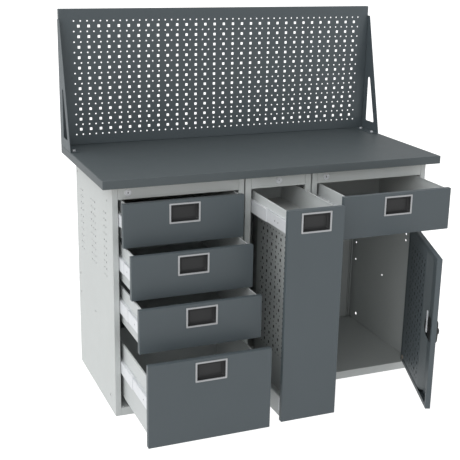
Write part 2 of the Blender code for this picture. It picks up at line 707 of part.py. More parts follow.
def make_door_lock():
    """Turning handle on the outside and cam on the inside, on one shaft."""
    pivot = door_point(LOCK_FROM_HINGE, -HINGE_INSET, LOCK_HEIGHT)
    face = -HINGE_INSET - SEAT
    side_view = [
        (0.030, face), (0.030, face - 0.012), (0.026, face - 0.016), (0.004, face - 0.018),
        (-0.001, face - 0.024), (-0.014, face - 0.024), (-0.019, face - 0.013), (-0.058, face - 0.010),
        (-0.062, face - 0.007), (-0.062, face),
    ]
    bm = bmesh.new()
    place = lambda a, b, d: door_point(LOCK_FROM_HINGE + d, b, LOCK_HEIGHT + a)
    prism(bm, place, side_view, -0.012, 0.012)
    handle = finish("door_handle", bm, BLACK_PLASTIC, pivot)
    inner = DOOR_THICK - HINGE_INSET
    place = lambda a, b, d: door_point(LOCK_FROM_HINGE + a, d, LOCK_HEIGHT + b)
    shaft = bmesh.new()
    prism(shaft, place, circle((0.0, 0.0), 0.0060, 12), face - 0.004, inner + 0.0012)
    combine(handle, shaft, "UNION")
    half = CAM_WIDTH / 2
    cam = slot((-half, -0.014), (half, CAM_LENGTH), 0.004)
    bm = bmesh.new()
    prism(bm, place, cam, inner + 0.0015, inner + 0.0045)
    finish("door_cam", bm, ZINC, pivot)


def build():
    """Make the whole bench."""
    clear_scene()
    make_worktop()
    make_screen()
    make_screen_brackets()
    for name in PEDESTALS:
        make_shell(name)
        make_base(name)
        make_top_rail(name)
        make_lock(name)
    make_cross_rail()
    pitch = SMALL_FRONT + LAYER_GAP
    runs = []
    for index, out in enumerate(DRAWER_OUT):
        label = "drawer_" + str(index + 1)
        top = FRONTS_TOP - index * pitch
        deep = index == 3
        bottom = FRONTS_BOTTOM if deep else top - SMALL_FRONT
        drop = DEEP_SLIDE_DROP if deep else SLIDE_DROP
        size = (DEEP_BOX_DROP, DEEP_BOX) if deep else (SMALL_BOX_DROP, SMALL_BOX)
        make_drawer(label, "left", top, bottom, size[0], size[1], drop, out)
        runs.append(top - drop)
    make_drawer(
        "drawer_5", "right", FRONTS_TOP, FRONTS_TOP - SMALL_FRONT, SMALL_BOX_DROP, SMALL_BOX, SLIDE_DROP,
        RIGHT_DRAWER_OUT,
    )
    upper = FRONTS_TOP - SLIDE_DROP
    top = FRONTS_TOP - UPRIGHT_END_GAP
    make_slide_frames("left", runs, (UPRIGHT_FRONT, UPRIGHT_MIDDLE, UPRIGHT_BACK), FRONTS_BOTTOM, top)
    high_run = FRONTS_TOP - PULLOUT_SLIDE_DROP
    make_slide_frames("middle", [high_run], (UPRIGHT_FRONT, UPRIGHT_BACK), top - SHORT_UPRIGHT, top)
    make_slide_frames("right", [upper], (UPRIGHT_FRONT, UPRIGHT_BACK), CROSS_RAIL_TOP + UPRIGHT_END_GAP / 2, top)
    make_pullout()
    make_door()


build()
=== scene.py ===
import math

import bmesh
import bpy
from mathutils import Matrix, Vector
from mathutils.geometry import delaunay_2d_cdt


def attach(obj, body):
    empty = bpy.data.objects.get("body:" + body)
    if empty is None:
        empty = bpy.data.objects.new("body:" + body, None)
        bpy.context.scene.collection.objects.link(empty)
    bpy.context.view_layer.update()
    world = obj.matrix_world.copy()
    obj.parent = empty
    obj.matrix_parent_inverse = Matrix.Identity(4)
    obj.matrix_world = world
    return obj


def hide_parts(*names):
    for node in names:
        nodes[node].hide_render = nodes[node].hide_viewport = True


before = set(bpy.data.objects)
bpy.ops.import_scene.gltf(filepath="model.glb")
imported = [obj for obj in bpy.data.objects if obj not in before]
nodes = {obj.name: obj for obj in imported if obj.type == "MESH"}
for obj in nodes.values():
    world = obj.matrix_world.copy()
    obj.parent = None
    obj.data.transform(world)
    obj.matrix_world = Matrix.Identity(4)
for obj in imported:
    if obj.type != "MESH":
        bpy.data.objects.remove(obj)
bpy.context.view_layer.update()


# Side panels of the three pedestals
# Each is one steel sheet, punched, folded along all four edges and powder coated in light grey.
# The front folds are the stiles that frame the drawers, and the back panel is welded between the rear folds.

def srgb(code):
    """Linear colour of an sRGB hex value."""
    parts = [int(code[i:i + 2], 16) / 255 for i in (1, 3, 5)]
    return [c / 12.92 if c <= 0.04045 else ((c + 0.055) / 1.055) ** 2.4 for c in parts] + [1.0]


def add_node(tree, kind, settings=(), links=()):
    """Add a shader node. Settings name its sockets or its properties, and links name its sockets."""
    made = tree.nodes.new(kind)
    for key, value in dict(settings).items():
        if isinstance(key, int) or key in made.inputs:
            made.inputs[key].default_value = value
        else:
            setattr(made, key, value)
    for key, source in dict(links).items():
        tree.links.new(source, made.inputs[key])
    return made


def powder_coat(name, colour, shade, roughness, relief, drift=1.0):
    """Polyester powder baked on steel: an even colour over a fine orange-peel skin with a soft sheen."""
    material = bpy.data.materials.new(name)
    material.use_nodes = True
    tree = material.node_tree
    shader = tree.nodes["Principled BSDF"]
    shader.inputs["IOR"].default_value = 1.5
    place = add_node(tree, "ShaderNodeTexCoord").outputs["Object"]
    # The coat's thickness drifts over about 300 mm, and its sheen over 70 mm where hands have rubbed it.
    # The skin's bumps are 2 mm across: real ones are finer, but wouldn't show.
    cloud = add_node(
        tree, "ShaderNodeTexNoise", {"Scale": 3.3, "Detail": 3.0, "Roughness": 0.6}, {"Vector": place},
    )
    handled = add_node(
        tree, "ShaderNodeTexNoise", {"Scale": 14.0, "Detail": 5.0, "Roughness": 0.7}, {"Vector": place},
    )
    peel = add_node(
        tree, "ShaderNodeTexNoise", {"Scale": 500.0, "Detail": 2.0, "Roughness": 0.5}, {"Vector": place},
    )
    mix = add_node(
        tree, "ShaderNodeMix", {"data_type": "RGBA", 6: srgb(colour), 7: srgb(shade)},
        {"Factor": cloud.outputs["Fac"]},
    )
    glossy, dull = roughness - 0.05 * drift, roughness + 0.06 * drift
    sheen = add_node(
        tree, "ShaderNodeMapRange", {"From Min": 0.3, "From Max": 0.7, "To Min": glossy, "To Max": dull},
        {"Value": handled.outputs["Fac"]},
    )
    bump = add_node(
        tree, "ShaderNodeBump", {"Strength": relief, "Distance": 0.00025}, {"Height": peel.outputs["Fac"]},
    )
    tree.links.new(mix.outputs[2], shader.inputs["Base Color"])
    tree.links.new(sheen.outputs["Result"], shader.inputs["Roughness"])
    tree.links.new(bump.outputs["Normal"], shader.inputs["Normal"])
    return material


def put_together(name, bm, material, body, replaced=(), bevel=0.0, by_angle=False):
    """Make the finished piece of a mesh: shaded, with its edges eased, and riding on its body."""
    bmesh.ops.recalc_face_normals(bm, faces=bm.faces[:])
    mesh = bpy.data.meshes.new(name)
    bm.to_mesh(mesh)
    bm.free()
    mesh.materials.append(material)
    mesh.polygons.foreach_set("use_smooth", [True] * len(mesh.polygons))
    mesh.set_sharp_from_angle(angle=math.radians(32))
    piece = bpy.data.objects.new(name, mesh)
    bpy.context.scene.collection.objects.link(piece)
    if bevel:
        ease = piece.modifiers.new("eased edges", "BEVEL")
        ease.width = bevel
        ease.segments = 3
        ease.limit_method = "ANGLE" if by_angle else "WEIGHT"
        ease.angle_limit = math.radians(40)
        ease.harden_normals = True
    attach(piece, body)
    if replaced:
        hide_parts(*replaced)
    return piece


def close_with_holes(bm, outline, holes):
    """Fill an outline round its holes. Each loop is a list of (flat point, vertex) pairs."""
    if not holes:
        bm.faces.new([vert for _, vert in outline])
        return
    points = []
    verts = []
    edges = []
    owner = []
    for number, loop in enumerate([outline] + holes):
        first = len(points)
        for index, (point, vert) in enumerate(loop):
            points.append(Vector(point))
            verts.append(vert)
            owner.append(number)
            edges.append((first + index, first + (index + 1) % len(loop)))
    found = delaunay_2d_cdt(points, edges, [], 1, 1e-7)
    source = [found[3][i][0] for i in range(len(found[0]))]
    for face in found[2]:
        corners = [source[i] for i in face]
        loops = {owner[i] for i in corners}
        if len(loops) > 1 or 0 in loops:
            bm.faces.new([verts[i] for i in corners])


def join_rings(bm, lower, upper):
    """Faces between two rings of vertices."""
    for i in range(len(lower)):
        j = (i + 1) % len(lower)
        bm.faces.new((lower[i], lower[j], upper[j], upper[i]))


def folded_sheet(bm, place, width, height, profile, holes=(), soft=1.0, front_lip=1.0):
    """A folded sheet, from (inset, depth) steps round its section. Its outer bends are marked to be rounded."""
    weight = bm.edges.layers.float.get("bevel_weight_edge") or bm.edges.layers.float.new("bevel_weight_edge")
    rings = []
    for inset, depth in profile:
        near = min(inset, front_lip)
        flat = [(inset, near), (width - inset, near), (width - inset, height - inset), (inset, height - inset)]
        rings.append([(point, bm.verts.new(place(point[0], point[1], depth))) for point in flat])
    for lower, upper in zip(rings, rings[1:]):
        join_rings(bm, [v for _, v in lower], [v for _, v in upper])
    front = [v for _, v in rings[0]]
    rim = [v for _, v in rings[1]]
    for i in range(4):
        bm.edges.get((front[i], rim[i]))[weight] = soft
        bm.edges.get((rim[i], rim[(i + 1) % 4]))[weight] = 0.4
        edge = bm.edges.get((front[i], front[(i + 1) % 4]))
        if edge is None:
            edge = bm.edges.new((front[i], front[(i + 1) % 4]))
        edge[weight] = soft
    outer_holes = []
    inner_holes = []
    for hole in holes:
        outer = [(p, bm.verts.new(place(p[0], p[1], profile[0][1]))) for p in hole]
        inner = [(p, bm.verts.new(place(p[0], p[1], profile[-1][1]))) for p in hole]
        join_rings(bm, [v for _, v in outer], [v for _, v in inner])
        outer_holes.append(outer)
        inner_holes.append(inner)
    close_with_holes(bm, rings[0], outer_holes)
    close_with_holes(bm, rings[-1], inner_holes)


def pan(thickness, depth, lip=0.0):
    """Section of a folded sheet: face, fold and, where it has one, a lip turned in."""
    if lip:
        return [
            (0.0, 0.0), (0.0, depth), (lip, depth), (lip, depth - thickness),
            (thickness, depth - thickness), (thickness, thickness),
        ]
    return [(0.0, 0.0), (0.0, depth), (thickness, depth), (thickness, thickness)]


def round_hole(x, y, diameter, sides=10):
    """Flat corners of a punched hole."""
    turns = [2 * math.pi * (i + 0.5) / sides for i in range(sides)]
    return [(x + diameter / 2 * math.cos(t), y + diameter / 2 * math.sin(t)) for t in turns]


# A punched sheet is drawn at 0.5 mm, or its holes wouldn't show where it is seen nearly edge on.
steel, thin_steel = 0.0012, 0.0005
front_y, pedestal_depth, pedestal_height = -0.09037342, 0.505, 0.830
# Each pedestal's left edge, its width and its stiles' width.
pedestals = {"left": (-0.601, 0.470, 0.020), "middle": (-0.126, 0.252, 0.022), "right": (0.131, 0.470, 0.020)}

light_coat = powder_coat("fine_textured_powder_coat_light_grey", "#C6CAC9", "#C0C4C3", 0.46, 0.25)

# Slides hook into a 25 mm grid of 7 mm holes. Assembly holes of 8 mm are in the corners and low down.
rack_pitch, rack_hole, rack_top = 0.025, 0.0069, 0.7195
slide_holes = []
for across in (-0.0065, 0.0185, 0.1415, 0.1665, 0.1915, 0.3185, 0.3435):
    for row in range(10):
        slide_holes.append(round_hole(across - front_y, rack_top - rack_pitch * row, rack_hole, 8))
assembly_spots = (
    (0.3846, 0.3765), (0.3816, 0.3025), (0.1626, 0.3025),
    (-0.0254, 0.0555), (-0.0274, 0.7685), (0.3936, 0.7755), (0.0056, 0.5235), (0.0056, 0.4985),
)
assembly_holes = [round_hole(y - front_y, z, 0.008) for y, z in assembly_spots]
cable_hole = round_hole(0.3546 - front_y, 0.0615, 0.012, 16)
side_lip, side_bend = 0.012, 0.0016
back_low, back_height, back_overlap = 0.0308, 0.7986, 0.008

for name, (left, width, stile) in pedestals.items():
    for side, x, inward in (("left", left, 1.0), ("right", left + width, -1.0)):
        bm = bmesh.new()
        place = lambda a, b, d: (x + inward * d, front_y + a, b)
        punched = assembly_holes + [cable_hole] if name == "right" else slide_holes + assembly_holes[:6]
        folded_sheet(bm, place, pedestal_depth, pedestal_height, pan(thin_steel, stile, side_lip), punched)
        put_together(
            name + "_side_panel_" + side, bm, light_coat, "bench", [name + "_shell"], side_bend,
        )
    bm = bmesh.new()
    low = left + stile - back_overlap
    place = lambda a, b, d: (low + a, front_y + pedestal_depth - 0.0035 - d, back_low + b)
    folded_sheet(bm, place, width - 2 * stile + 2 * back_overlap, back_height, pan(0.001, 0.011))
    put_together(name + "_back_panel", bm, light_coat, "bench", [name + "_shell"], 0.0008)


# Floors, plinths and rails of the pedestals
# Shallow pans of the same sheet, hooked between the side panels and welded.
# They keep their CAD shapes, with the press brake's small radius on each edge.

def dress(node, material, radius=0.0004, segments=2):
    """Give a CAD node its material, and ease its edges."""
    piece = nodes[node]
    for place in piece.material_slots:
        place.material = material
    weld = piece.modifiers.new("one skin", "WELD")
    weld.merge_threshold = 0.00002
    if radius:
        ease = piece.modifiers.new("eased edges", "BEVEL")
        ease.width = radius
        ease.segments = segments
        ease.limit_method = "ANGLE"
        ease.angle_limit = math.radians(40)
        ease.harden_normals = True
    return piece


rail_low, rail_height, rail_depth, rail_gap = 0.7835, 0.0462, 0.018, 0.0004
lock_z, lock_bore = 0.8066, 0.0166
locks = {"left": -0.546, "middle": 0.0, "right": 0.186}
for name, lock_x in locks.items():
    dress(name + "_base", light_coat, 0.0010)
    left, width, stile = pedestals[name]
    bm = bmesh.new()
    low = left + stile + rail_gap
    place = lambda a, b, d: (low + a, front_y + d, rail_low + b)
    lock_hole = round_hole(lock_x - low, lock_z - rail_low, lock_bore, 20)
    rail_width = width - 2 * stile - 2 * rail_gap
    folded_sheet(bm, place, rail_width, rail_height, pan(steel, rail_depth), [lock_hole])
    put_together(name + "_rail", bm, light_coat, "bench", [name + "_top_rail"], 0.0018)
dress("right_cross_rail", light_coat)


# Slide racks and the middle members of the slides
# Cold-rolled steel strip, zinc plated: bright, slightly blue, with faint lines along the rolling direction.
# The racks are welded inside the side panels, and the beams run between them and the drawers.

def plated_metal(name, colour, shade, roughness, metallic, stretched=False):
    """Plated metal: a clean, hazy silver skin. On strip it has faint rolling lines about 1 mm apart."""
    material = bpy.data.materials.new(name)
    material.use_nodes = True
    tree = material.node_tree
    shader = tree.nodes["Principled BSDF"]
    shader.inputs["Metallic"].default_value = metallic
    place = add_node(tree, "ShaderNodeTexCoord").outputs["Object"]
    lengthwise = (1.0, 0.03 if stretched else 1.0, 1.0)
    stretch = add_node(tree, "ShaderNodeMapping", {"Scale": lengthwise}, {"Vector": place})
    lines = add_node(tree, "ShaderNodeTexNoise", {"Scale": 900.0, "Detail": 2.0}, {"Vector": stretch.outputs[0]})
    cloud = add_node(tree, "ShaderNodeTexNoise", {"Scale": 22.0, "Detail": 4.0}, {"Vector": place})
    tone = add_node(
        tree, "ShaderNodeMix", {"data_type": "RGBA", 6: srgb(colour), 7: srgb(shade)},
        {"Factor": cloud.outputs["Fac"]},
    )
    haze = add_node(
        tree, "ShaderNodeMapRange",
        {"From Min": 0.3, "From Max": 0.7, "To Min": roughness - 0.06, "To Max": roughness + 0.08},
        {"Value": cloud.outputs["Fac"]},
    )
    bump = add_node(
        tree, "ShaderNodeBump", {"Strength": 0.2, "Distance": 0.0001}, {"Height": lines.outputs["Fac"]},
    )
    tree.links.new(tone.outputs[2], shader.inputs["Base Color"])
    tree.links.new(haze.outputs["Result"], shader.inputs["Roughness"])
    tree.links.new(bump.outputs["Normal"], shader.inputs["Normal"])
    return material


# Passivated zinc scatters light like pale paint. Where rollers have polished it, it mirrors what is beside it.
zinc = plated_metal("hazy_zinc_plated_rolled_steel", "#ECEEF1", "#E2E5E8", 0.48, 0.35, stretched=True)
bright_zinc = plated_metal("bright_zinc_plated_rolled_steel", "#ECEEF1", "#E2E5E8", 0.34, 0.85, stretched=True)
# Each drawer's pedestal, its front's top and bottom, and how far it stands out in the photo.
drawers = {
    "drawer_1": ("left", 0.782, 0.632, 0.054), "drawer_2": ("left", 0.6292, 0.4792, 0.142),
    "drawer_3": ("left", 0.4764, 0.3264, 0.224), "drawer_4": ("left", 0.3236, 0.0355, 0.315),
    "drawer_5": ("right", 0.782, 0.632, 0.200), "pullout": ("middle", 0.782, 0.0355, 0.298),
}
for name in pedestals:
    for side in ("left", "right"):
        dress(name + "_slide_frame_" + side, zinc)
for label in drawers:
    for side in ("left", "right"):
        dress(label + "_slide_" + side, zinc)


# Drawer fronts
# Each is a steel tray 18 mm deep, folded round the handle's cut-out and coated in dark grey.
# It is screwed to the box behind it.

dark_coat = powder_coat("matt_powder_coat_dark_grey", "#535C61", "#4F585C", 0.42, 0.3)
front_gap, front_fold, front_lip, front_bend = 0.0015, 0.018, 0.012, 0.0018
handle_width, handle_height, handle_rim, handle_drop, rim_overlap = 0.110, 0.070, 0.0064, 0.010, 0.0052


def opening(pedestal):
    """The clear width between a pedestal's stiles."""
    left, width, stile = pedestals[pedestal]
    return left + stile, left + width - stile


for label, (pedestal, top, bottom, out) in drawers.items():
    low, high = opening(pedestal)
    width = high - low - 2 * front_gap
    across = (width - handle_width) / 2 + rim_overlap
    upper = top - bottom - handle_drop - rim_overlap
    lower = top - bottom - handle_drop - handle_height + rim_overlap
    cut_out = [(across, lower), (width - across, lower), (width - across, upper), (across, upper)]
    bm = bmesh.new()
    place = lambda a, b, d: (low + front_gap + a, front_y - out + d, bottom + b)
    folded_sheet(bm, place, width, top - bottom, pan(steel, front_fold, front_lip), [cut_out])
    put_together(label + "_front_panel", bm, dark_coat, label, [label + "_front"], front_bend)


# Recessed pulls
# A satin silver frame snapped over a black moulded cup, set into the front's cut-out.
# The cup's sides slope in to a flat floor 13 mm deep.

def satin_metal(name, colour, roughness, grain):
    """Matt-plated surface: pale and even, with a very fine grain."""
    material = bpy.data.materials.new(name)
    material.use_nodes = True
    tree = material.node_tree
    shader = tree.nodes["Principled BSDF"]
    shader.inputs["Metallic"].default_value = 0.5
    shader.inputs["Roughness"].default_value = roughness
    place = add_node(tree, "ShaderNodeTexCoord").outputs["Object"]
    fine = add_node(tree, "ShaderNodeTexNoise", {"Scale": grain, "Detail": 3.0}, {"Vector": place})
    tone = add_node(
        tree, "ShaderNodeMix", {"data_type": "RGBA", 6: srgb(colour), 7: srgb("#B2B4B6")},
        {"Factor": fine.outputs["Fac"]},
    )
    bump = add_node(
        tree, "ShaderNodeBump", {"Strength": 0.15, "Distance": 0.0001}, {"Height": fine.outputs["Fac"]},
    )
    tree.links.new(tone.outputs[2], shader.inputs["Base Color"])
    tree.links.new(bump.outputs["Normal"], shader.inputs["Normal"])
    return material


def moulded_plastic(name, colour, shade, roughness):
    """Moulded ABS or nylon: dark, with the mould's spark-eroded grain of about 0.8 mm."""
    material = bpy.data.materials.new(name)
    material.use_nodes = True
    tree = material.node_tree
    shader = tree.nodes["Principled BSDF"]
    shader.inputs["IOR"].default_value = 1.53
    place = add_node(tree, "ShaderNodeTexCoord").outputs["Object"]
    grain = add_node(tree, "ShaderNodeTexVoronoi", {"Scale": 1200.0}, {"Vector": place})
    cloud = add_node(tree, "ShaderNodeTexNoise", {"Scale": 40.0, "Detail": 3.0}, {"Vector": place})
    tone = add_node(
        tree, "ShaderNodeMix", {"data_type": "RGBA", 6: srgb(colour), 7: srgb(shade)},
        {"Factor": cloud.outputs["Fac"]},
    )
    rough = add_node(
        tree, "ShaderNodeMapRange", {"To Min": roughness - 0.05, "To Max": roughness + 0.07},
        {"Value": cloud.outputs["Fac"]},
    )
    bump = add_node(
        tree, "ShaderNodeBump", {"Strength": 0.2, "Distance": 0.0001}, {"Height": grain.outputs["Distance"]},
    )
    tree.links.new(tone.outputs[2], shader.inputs["Base Color"])
    tree.links.new(rough.outputs["Result"], shader.inputs["Roughness"])
    tree.links.new(bump.outputs["Normal"], shader.inputs["Normal"])
    return material


def rounded_ring(bm, place, width, height, inset, depth, radius, steps=4):
    """A ring of vertices round a rectangle with round corners."""
    radius = max(radius, 0.0002)
    ring = []
    corners = (
        (width - inset - radius, height - inset - radius, 0), (inset + radius, height - inset - radius, 90),
        (inset + radius, inset + radius, 180), (width - inset - radius, inset + radius, 270),
    )
    for x, y, start in corners:
        for step in range(steps + 1):
            turn = math.radians(start + 90 * step / steps)
            ring.append(bm.verts.new(place(x + radius * math.cos(turn), y + radius * math.sin(turn), depth)))
    return ring


def lofted(bm, place, width, height, steps, open_ring=False):
    """A moulding lofted through round-cornered rings, each an (inset, depth, radius)."""
    rings = [rounded_ring(bm, place, width, height, *step) for step in steps]
    for lower, upper in zip(rings, rings[1:]):
        join_rings(bm, lower, upper)
    if open_ring:
        join_rings(bm, rings[-1], rings[0])
    else:
        bm.faces.new(rings[0])
        bm.faces.new(rings[-1])


frame_silver = satin_metal("satin_silver_plated_frame", "#BFC1C3", 0.45, 700.0)
cup_and_painted_shade_black = moulded_plastic("moulded_abs_black_and_painted_shade", "#252627", "#2B2C2D", 0.55)
for label, (pedestal, top, bottom, out) in drawers.items():
    low, high = opening(pedestal)
    x = (low + high - handle_width) / 2
    z = top - handle_drop - handle_height
    place = lambda a, b, d: (x + a, front_y - out + d, z + b)
    bm = bmesh.new()
    frame_steps = (
        (0.0, -0.0003, 0.0025), (0.0, -0.0014, 0.0025), (0.0009, -0.0023, 0.0018),
        (handle_rim - 0.0012, -0.0023, 0.0014), (handle_rim - 0.0003, -0.0014, 0.0014),
        (handle_rim - 0.0003, 0.0006, 0.0014), (handle_rim - 0.0012, 0.0006, 0.0016),
        (handle_rim - 0.0012, -0.0003, 0.0016),
    )
    lofted(bm, place, handle_width, handle_height, frame_steps, open_ring=True)
    put_together(label + "_pull_frame", bm, frame_silver, label, [label + "_handle"])
    bm = bmesh.new()
    cup_steps = (
        (handle_rim - 0.0015, 0.0145, 0.0020), (handle_rim - 0.0015, 0.0008, 0.0020),
        (handle_rim - 0.0002, 0.0008, 0.0020), (handle_rim + 0.0005, 0.0030, 0.0026),
        (handle_rim + 0.0044, 0.0117, 0.0040), (handle_rim + 0.0057, 0.0128, 0.0032),
        (handle_rim + 0.0090, 0.0128, 0.0026), (handle_rim + 0.0100, 0.0120, 0.0020),
    )
    lofted(bm, place, handle_width, handle_height, cup_steps)
    put_together(label + "_pull_cup", bm, cup_and_painted_shade_black, label, [label + "_handle"])


# Drawer boxes and trays, with the drawer members of their slides
# Boxes of 1 mm sheet, folded and spot welded, their top edges turned in 5 mm so that they don't cut.
# The slide members are zinc-plated C channels, riveted to the sides. Dark steel rivets show near the front.

def extrude(bm, place, outline, start, end):
    """Extrude a flat outline."""
    lower = [bm.verts.new(place(a, b, start)) for a, b in outline]
    upper = [bm.verts.new(place(a, b, end)) for a, b in outline]
    join_rings(bm, lower, upper)
    bm.faces.new(lower)
    bm.faces.new(upper)


def turned(bm, centre, out, profile, sides=12):
    """Turn a profile of (radius, height) about an axis that points out of a surface."""
    axis = Vector(out).normalized()
    across = axis.orthogonal().normalized()
    up = axis.cross(across)
    rings = []
    for radius, height in profile:
        ring = []
        for i in range(sides):
            t = 2 * math.pi * i / sides
            ring.append(bm.verts.new(
                Vector(centre) + axis * height + (across * math.cos(t) + up * math.sin(t)) * radius
            ))
        rings.append(ring)
    for lower, upper in zip(rings, rings[1:]):
        join_rings(bm, lower, upper)
    bm.faces.new(rings[0])
    bm.faces.new(rings[-1])


def pan_head(radius, height):
    """Profile of a low domed screw head with a round recess in its middle."""
    return (
        (radius, 0.0), (radius, height * 0.35), (radius * 0.86, height * 0.8), (radius * 0.55, height),
        (radius * 0.34, height), (radius * 0.26, height * 0.55),
    )


bm = bmesh.new()
for x in (-0.5736, -0.1584):
    turned(bm, (x, -0.0815, 0.0300), (0, 0, 1), pan_head(0.0042, 0.0022), 16)
put_together("left_floor_screws", bm, zinc, "bench")

box_inset, box_start, box_length, slide_front = 0.0122, 0.0183, 0.450, 0.022
member_height, member_web, member_near = 0.0416, 0.0013, 0.0035
# Each box's drawer, its bottom and height, and the height of its slides' middle.
boxes = {
    "drawer_1_box": ("drawer_1", 0.651, 0.129, 0.715), "drawer_2_box": ("drawer_2", 0.4982, 0.129, 0.5622),
    "drawer_3_box": ("drawer_3", 0.3454, 0.129, 0.4094), "drawer_4_box": ("drawer_4", 0.0646, 0.202, 0.1841),
    "drawer_5_box": ("drawer_5", 0.651, 0.129, 0.715), "pullout_top_tray": ("pullout", 0.695, 0.0765, 0.722),
    "pullout_base_tray": ("pullout", 0.0375, 0.073, None),
}
tray_coat = powder_coat("smooth_powder_coat_light_grey", "#C6CACA", "#BFC3C3", 0.4, 0.15)
rivet_steel = plated_metal("phosphated_rivet_steel", "#4E5053", "#434548", 0.5, 0.6)
for node, (label, bottom, height, slide_z) in boxes.items():
    pedestal, _, _, out = drawers[label]
    low, high = opening(pedestal)
    bm = bmesh.new()
    place = lambda a, b, d: (low + box_inset + a, front_y - out + box_start + b, bottom + d)
    folded_sheet(
        bm, place, high - low - 2 * box_inset, box_length, pan(0.001, height, 0.005), front_lip=0.0012,
    )
    put_together(node + "_shell", bm, tray_coat, label, [node], 0.0012)
    if slide_z is None:
        continue
    half = member_height / 2
    inner = half - member_web
    reach = box_inset + 0.0004
    outline = (
        (member_near, -half), (reach, -half), (reach, -inner), (member_near + member_web, -inner),
        (member_near + member_web, inner), (reach, inner), (reach, half), (member_near, half),
    )
    rivet_spots = (0.060, 0.086) if label == "pullout" else (0.037,)
    for side, edge, inward in (("left", low, 1.0), ("right", high, -1.0)):
        y = front_y - out + slide_front
        bm = bmesh.new()
        place = lambda a, b, d: (edge + inward * a, y + d, slide_z + b)
        extrude(bm, place, outline, 0.0, box_length)
        member = put_together(
            label + "_slide_member_" + side, bm, zinc, label, [node], 0.0006, by_angle=True,
        )
        # The flanges are polished brighter than the web, and mirror the box above them.
        member.data.materials.append(bright_zinc)
        for face in member.data.polygons:
            face.material_index = 1 if abs(face.normal.z) > 0.9 else 0
        bm = bmesh.new()
        for along in rivet_spots:
            spot = (edge + inward * (member_near + 0.0004), y + along, slide_z - 0.001)
            turned(bm, spot, (-inward, 0, 0), pan_head(0.0030, 0.0005))
        put_together(label + "_slide_rivets_" + side, bm, rivet_steel, label)


# Angle plate of the base tray
# A zinc-plated plate riveted to the tray's outer side near the front.
# The front's lower edge is screwed to it.

low, high = opening("middle")
out = drawers["pullout"][3]
tray_side, plate_low = low + box_inset, 0.060
bm = bmesh.new()
place = lambda a, b, d: (tray_side - 0.0002 - d, front_y - out + 0.0190 + a, plate_low + b)
folded_sheet(bm, place, 0.025, 0.046, pan(0.0008, 0.0014))
for up in (0.010, 0.036):
    spot = (tray_side - 0.0010, front_y - out + 0.0310, plate_low + up)
    turned(bm, spot, (-1, 0, 0), pan_head(0.0036, 0.0018))
put_together("pullout_angle_plate", bm, zinc, "pullout", bevel=0.0004)


# Tool panel of the pull-out
# A flat case of thin sheet, punched on both faces, folded at its edges and coated in light grey; its coat is
# drawn paler, as painted light.
# Tool hooks hang in its 11 mm squares, on either side, and screws go in the round holes between them.

def square_hole(x, y, side):
    """Flat corners of a punched square hole."""
    half = side / 2
    return [(x - half, y - half), (x + half, y - half), (x + half, y + half), (x - half, y + half)]


def hook_pattern(first_square, squares, side, first_round, rounds, diameter):
    """Squares at a 38 mm pitch both ways, and rows of round holes 25 mm apart, each counted (across, down)."""
    hook_pitch, screw_pitch = 0.038, 0.025
    found = []
    for row in range(squares[1]):
        for column in range(squares[0]):
            found.append(square_hole(
                first_square[0] + hook_pitch * column, first_square[1] - hook_pitch * row, side,
            ))
    for row in range(rounds[1]):
        for column in range(rounds[0]):
            found.append(round_hole(
                first_round[0] + screw_pitch * column, first_round[1] - hook_pitch * row, diameter, 8,
            ))
    return found


# A paler copy of the pedestals' light grey: painted light on the tool panel, which stands in shade.
panel_coat_painted_paler = powder_coat("light_grey_powder_coat_painted_paler", "#E2E6E5", "#DBDFDE", 0.42, 0.15)
panel_width, panel_height, panel_start, panel_low = 0.4294, 0.6559, 0.0286, 0.0388
holes = hook_pattern(
    (0.0720, panel_height - 0.0156), (9, 14), 0.0112, (0.0660, panel_height - 0.0346), (14, 14), 0.0066,
)
bm = bmesh.new()
for offset, profile, soft in (
    (-0.006, pan(thin_steel, 0.012), 1.0), (0.0050, [(0.001, 0.0), (0.001, thin_steel)], 0.0),
):
    place = lambda a, b, d: (offset + d, front_y - out + panel_start + a, panel_low + b)
    folded_sheet(bm, place, panel_width, panel_height, profile, holes, soft=soft)
put_together(
    "pullout_perforated_panel", bm, panel_coat_painted_paler, "pullout", ["pullout_tool_panel"], 0.0014,
)
# A 1 mm black sheet lies between the two faces and shows in their holes: painted shade, standing in for the dark
# inside the case.
bm = bmesh.new()
place = lambda a, b, d: (d - 0.0005, front_y - out + 0.0306 + a, 0.0408 + b)
shade_sheet_steps = ((0.0003, 0.0, 0.004), (0.0, 0.0002, 0.004), (0.0, 0.0008, 0.004), (0.0003, 0.0010, 0.004))
lofted(bm, place, panel_width - 0.004, panel_height - 0.004, shade_sheet_steps)
put_together("pullout_panel_painted_shade_sheet", bm, cup_and_painted_shade_black, "pullout")


# Door leaf and its perforated inner sheet
# The leaf is a folded tray that hangs on two pins. The inner sheet is riveted inside it.
# It is punched like the tool panel, and the strip beside it leaves room for the lock and the lower catch.

hinge_x, hinge_y, swing = 0.5722, -0.08437342, math.radians(70)


def on_door(along, off, up):
    """A point on the open door: distance from the pins, distance inwards, and height."""
    return (
        hinge_x - along * math.cos(swing) - off * math.sin(swing),
        hinge_y - along * math.sin(swing) + off * math.cos(swing),
        up,
    )


door_width, door_height, door_low, pin_inset = 0.4255, 0.5569, 0.0355, 0.006
handle_hole = round_hole(0.364, 0.2805, 0.015, 16)
bm = bmesh.new()
place = lambda a, b, d: on_door(a - pin_inset, d - pin_inset, door_low + b)
folded_sheet(bm, place, door_width, door_height, pan(steel, front_fold, 0.015), [handle_hole])
put_together("door_skin", bm, dark_coat, "door", ["door_leaf"], front_bend)

